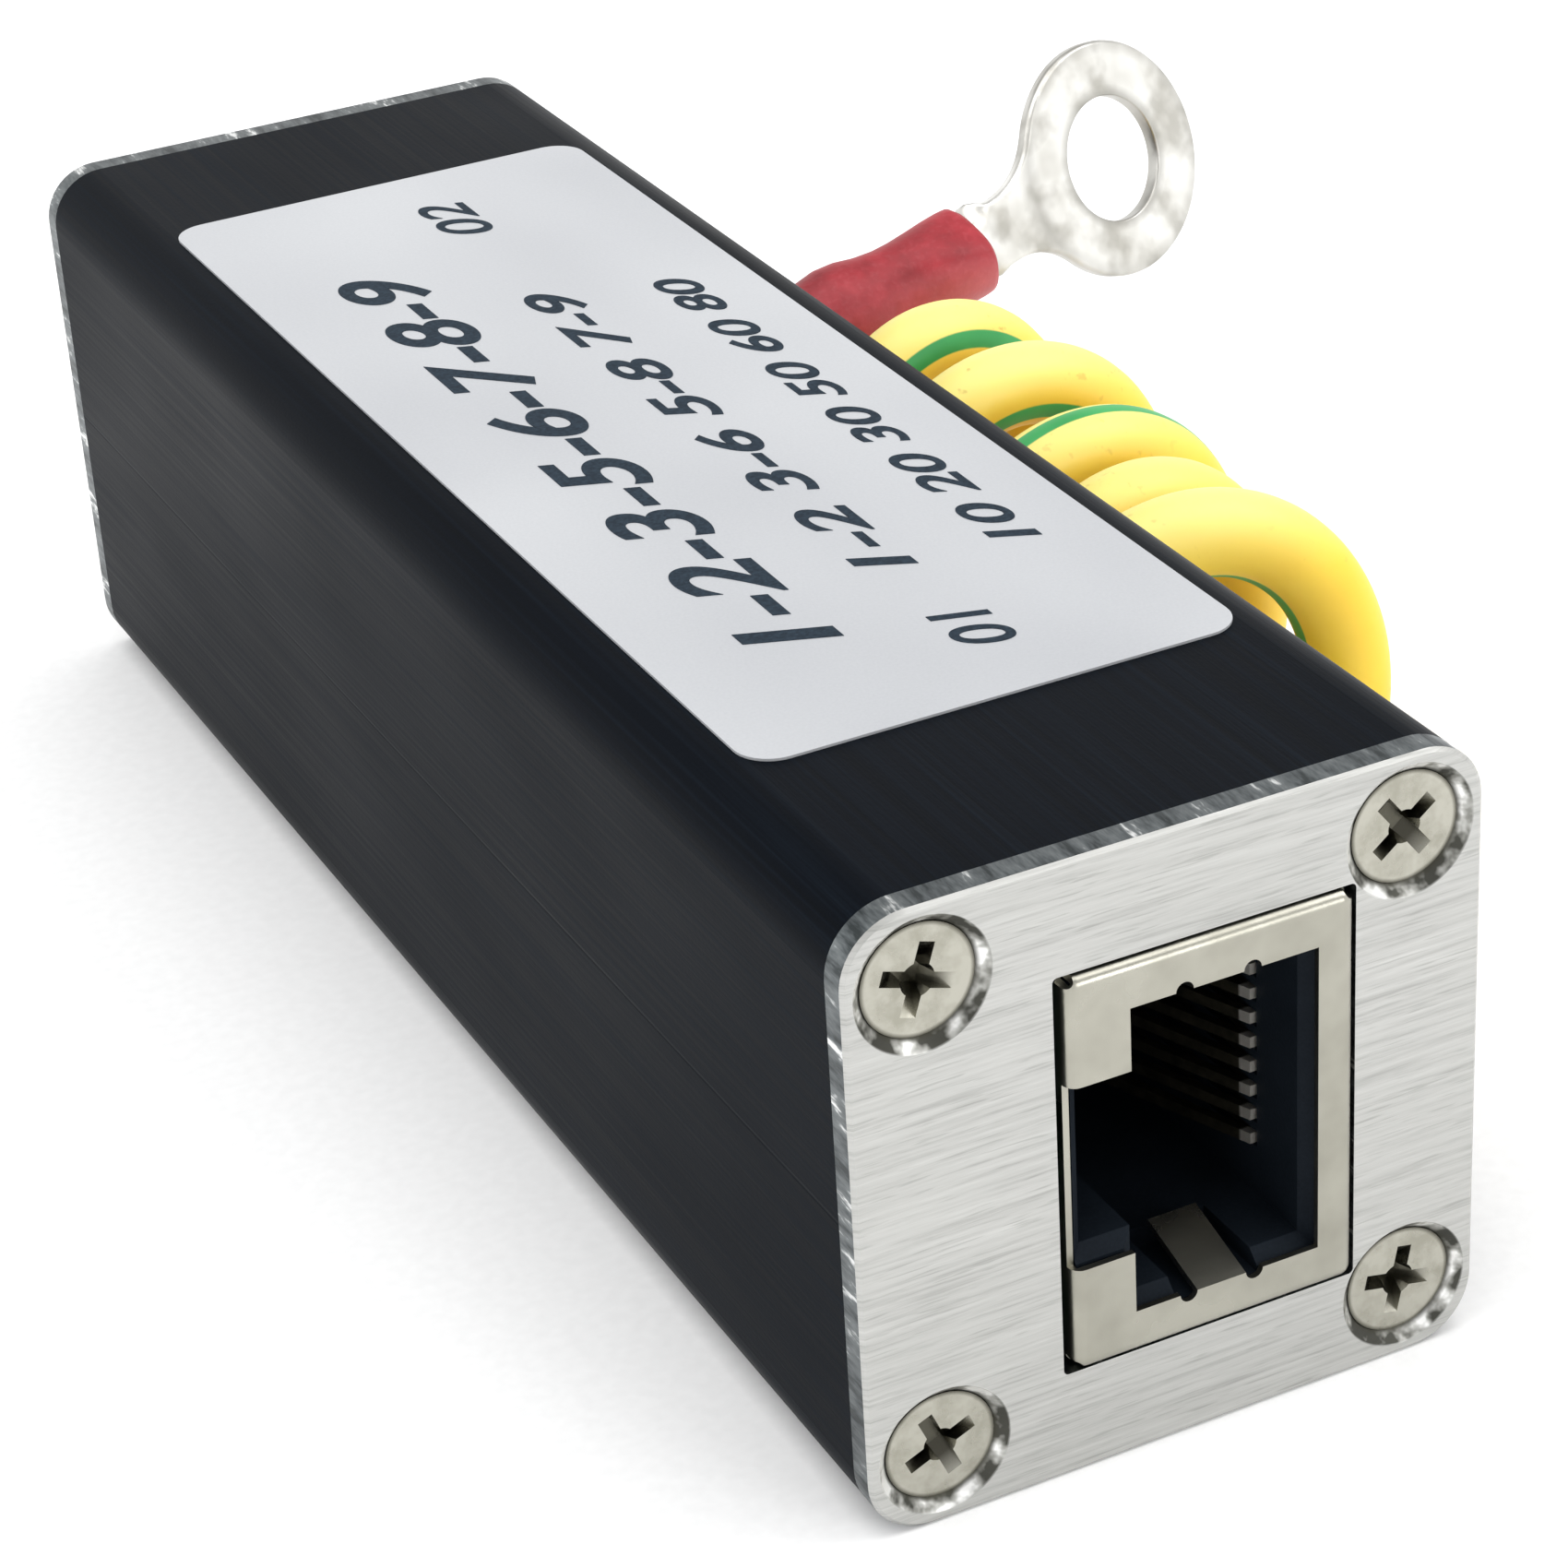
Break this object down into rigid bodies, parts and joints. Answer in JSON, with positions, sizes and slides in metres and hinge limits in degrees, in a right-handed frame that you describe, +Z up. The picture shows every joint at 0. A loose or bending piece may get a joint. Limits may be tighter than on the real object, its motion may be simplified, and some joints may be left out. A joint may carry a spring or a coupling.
{
  "type": "ethernet surge protector",
  "caption": "Inline network surge protector: a black extruded box with a socket in each end plate and a coiled earth lead ending in a ring terminal.",
  "frame": {"origin": "centre of the housing's underside, on the surface that it stands on", "axes": "+Z up through the label, +Y from the line socket to the equipment socket, +X the side that the earth lead leaves"},
  "size_m": [0.0563, 0.083, 0.0251],
  "materials": {
    "anodised_tube": "black anodised extrusion, satin",
    "brushed_plate": "brushed sheet",
    "plated_screw": "nickel plated",
    "nickel_shield": "nickel plated sheet, satin",
    "socket_plastic": "moulded, fine satin",
    "carrier_plastic": "moulded",
    "gold_contact": "gold flashed",
    "green_board": "solder mask",
    "ceramic_tube": "ceramic with nickel caps",
    "diode_epoxy": "moulded epoxy",
    "silver_label": "silver film, satin",
    "black_rubber": "moulded rubber",
    "lead_insulation": "yellow with a green stripe, satin",
    "copper_strands": "bare copper",
    "solder": "bright solder",
    "red_sleeve": "translucent vinyl, satin",
    "tinned_copper": "tinned"
  },
  "bodies": {
    "root": {"housing_tube": "anodised_tube", "front_end_plate": "brushed_plate", "front_plate_screws": "plated_screw", "front_jack_shield": "nickel_shield", "front_jack_body": "socket_plastic", "front_jack_contact_carrier": "carrier_plastic", "front_jack_contact_1": "gold_contact", "front_jack_contact_2": "gold_contact", "front_jack_contact_3": "gold_contact", "front_jack_contact_4": "gold_contact", "front_jack_contact_5": "gold_contact", "front_jack_contact_6": "gold_contact", "front_jack_contact_7": "gold_contact", "front_jack_contact_8": "gold_contact", "rear_end_plate": "brushed_plate", "rear_plate_screws": "plated_screw", "rear_jack_shield": "nickel_shield", "rear_jack_body": "socket_plastic", "rear_jack_contact_carrier": "carrier_plastic", "rear_jack_contact_1": "gold_contact", "rear_jack_contact_2": "gold_contact", "rear_jack_contact_3": "gold_contact", "rear_jack_contact_4": "gold_contact", "rear_jack_contact_5": "gold_contact", "rear_jack_contact_6": "gold_contact", "rear_jack_contact_7": "gold_contact", "rear_jack_contact_8": "gold_contact", "circuit_board": "green_board", "gas_tube_1": "ceramic_tube", "gas_tube_2": "ceramic_tube", "gas_tube_3": "ceramic_tube", "gas_tube_4": "ceramic_tube", "surge_diode_1": "diode_epoxy", "surge_diode_2": "diode_epoxy", "surge_diode_3": "diode_epoxy", "surge_diode_4": "diode_epoxy", "face_label": "silver_label", "lead_grommet": "black_rubber", "earth_lead_inner": "lead_insulation", "earth_lead_inner_core": "copper_strands", "earth_pad_solder": "solder", "earth_lead_run": "lead_insulation", "earth_lead_tail": "lead_insulation", "earth_lead_coil": "lead_insulation", "earth_lead_core_end": "copper_strands", "terminal_sleeve": "red_sleeve", "ring_terminal": "tinned_copper"}
  },
  "joints": []
}
